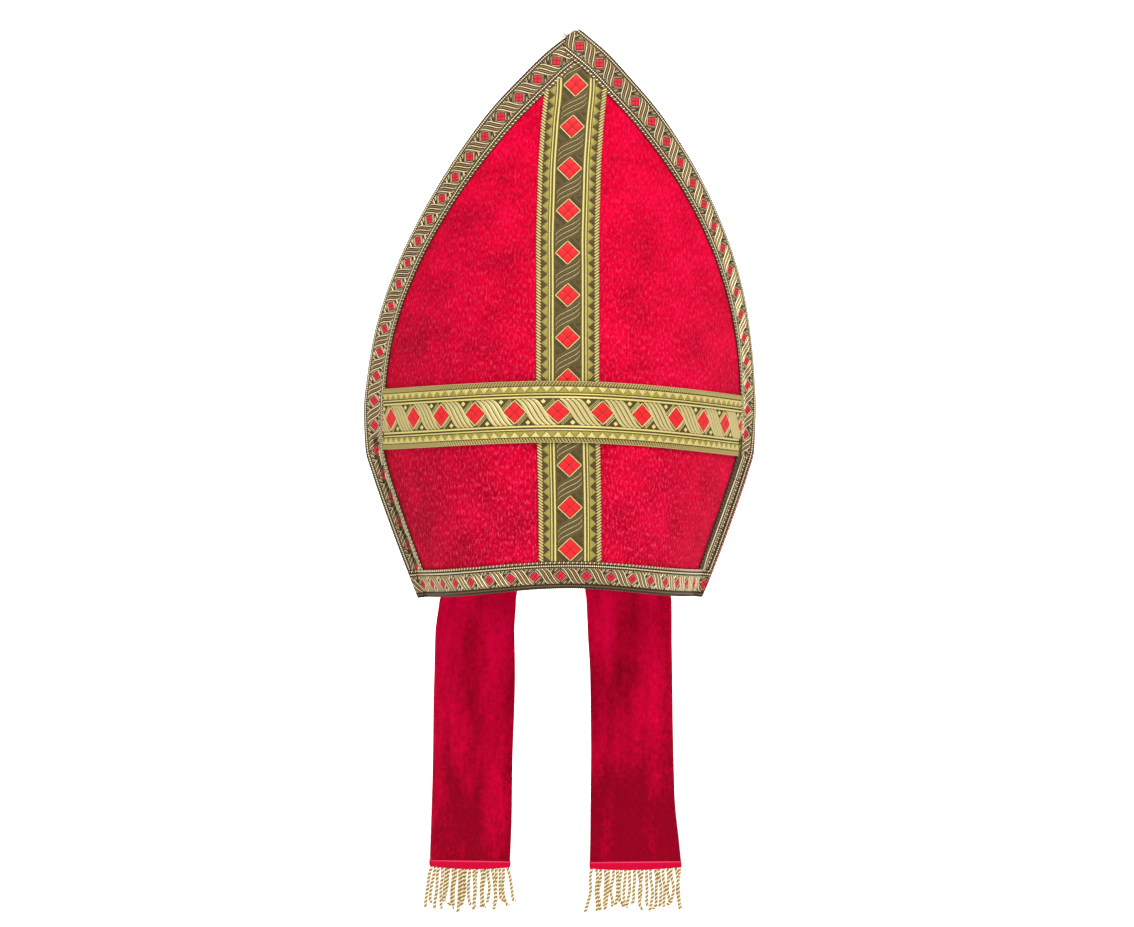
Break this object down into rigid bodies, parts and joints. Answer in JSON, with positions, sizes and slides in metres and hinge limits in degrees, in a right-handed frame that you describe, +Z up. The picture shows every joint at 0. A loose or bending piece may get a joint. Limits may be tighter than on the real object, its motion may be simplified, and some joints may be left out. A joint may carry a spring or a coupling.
{
  "type": "bishop mitre",
  "caption": "Tall pointed bishop mitre of stiff red plush bound in gold braid, with a galloon cross on its front and fringed lappets hanging from its back rim",
  "frame": {"origin": "middle of the rim opening where the mitre sits on the head, level with the lowest points of the rim", "axes": "+Z up toward the points, -Y toward the front panel with the galloon cross, +X toward the right of the picture"},
  "size_m": [0.2651, 0.2224, 0.5896],
  "materials": {
    "plush": "crimson plush with a short upright nap",
    "lappet_plush": "darker crimson plush with a short nap",
    "narrow_braid": "woven metallic gold braid",
    "wide_galloon": "woven metallic gold galloon with a raised pattern",
    "fringe_cord": "twisted pale gold cord"
  },
  "bodies": {
    "root": {"front_panel": "plush", "back_panel": "plush", "front_edge_braid_left": "narrow_braid", "front_edge_braid_right": "narrow_braid", "back_edge_braid_left": "narrow_braid", "back_edge_braid_right": "narrow_braid", "front_rim_braid": "narrow_braid", "back_rim_braid": "narrow_braid", "upright_galloon": "wide_galloon", "cross_galloon": "wide_galloon", "lappet_left": "lappet_plush", "lappet_right": "lappet_plush", "fringe_left": "fringe_cord", "fringe_right": "fringe_cord"}
  },
  "joints": []
}
